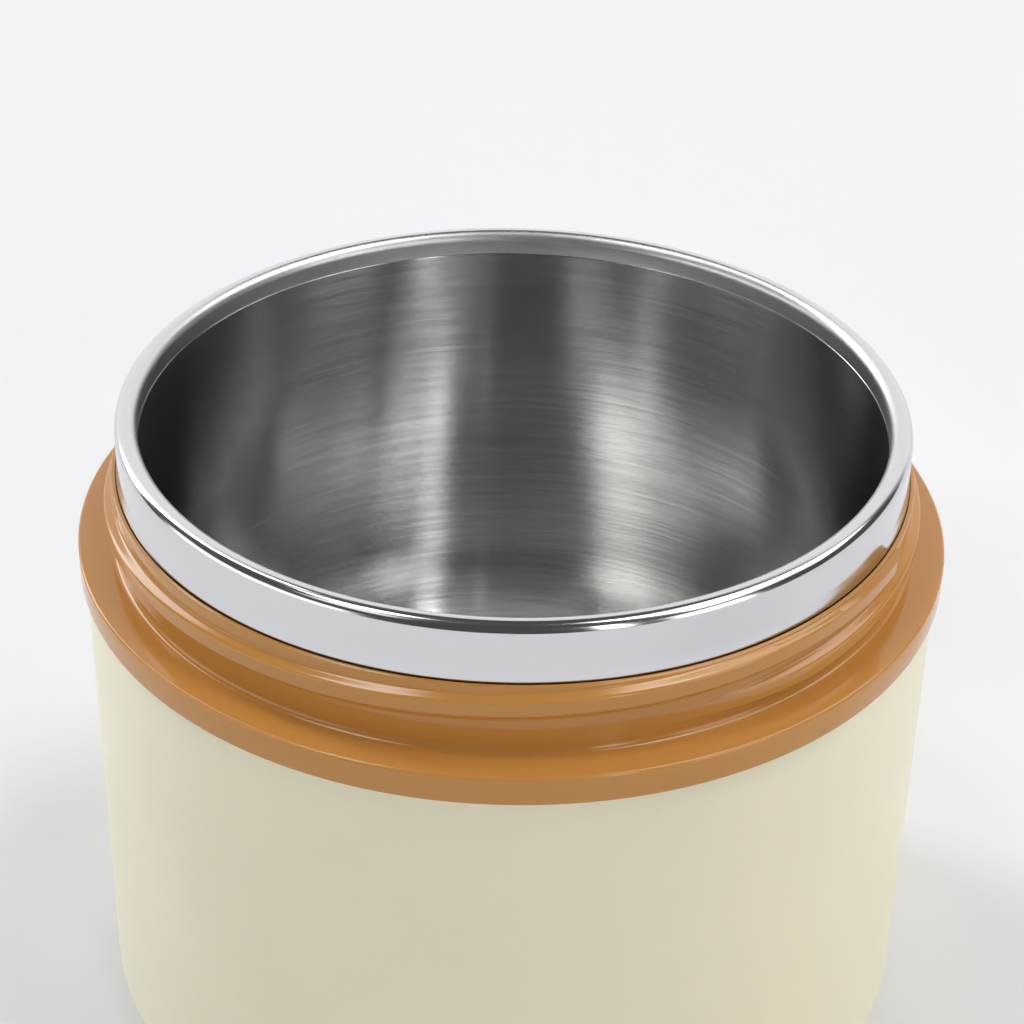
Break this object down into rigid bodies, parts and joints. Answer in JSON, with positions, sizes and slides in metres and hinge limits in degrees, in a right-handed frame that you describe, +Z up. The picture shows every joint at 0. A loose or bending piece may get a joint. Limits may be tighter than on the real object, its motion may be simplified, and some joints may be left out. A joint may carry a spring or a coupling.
{
  "type": "insulated food jar",
  "caption": "Wide-mouth insulated food jar with a polished steel lip, a threaded caramel collar and a cream casing, its screw lid laid down behind it.",
  "frame": {"origin": "on the jar's axis, in the plane that the jar stands on", "axes": "+Z up along the jar's axis, out of its mouth; -Y is the front, and +Y points from the jar to the lid laid behind it"},
  "size_m": [0.12, 0.2496, 0.096],
  "materials": {
    "brushed_bowl": "brushed round the axis",
    "polished_steel": "polished",
    "plain_steel": "as rolled",
    "getter_steel": "matt",
    "seal_glass": "fused",
    "foil": "bright",
    "caramel_plastic": "satin gloss",
    "cream_shell": "satin",
    "pale_silicone": "matt",
    "dark_cushion": "matt",
    "foam": "foamed"
  },
  "bodies": {
    "jar": {"inner_liner": "brushed_bowl", "vessel_wall": "polished_steel", "vessel_base": "plain_steel", "getter": "getter_steel", "pump_seal": "seal_glass", "heat_foil": "foil", "threaded_collar": "caramel_plastic", "neck_seal": "pale_silicone", "body_shell": "cream_shell", "cushion_ring": "dark_cushion", "foot_ring": "pale_silicone"},
    "lid": {"lid_cover": "cream_shell", "lid_skirt": "caramel_plastic", "lid_plate": "caramel_plastic", "lid_foam": "foam", "lid_seal": "pale_silicone"}
  },
  "joints": [
    {"name": "lid_lift", "type": "slide", "parent": "jar", "child": "lid", "axis": [0, 0, 1], "range_m": [0, 0.12]}
  ]
}
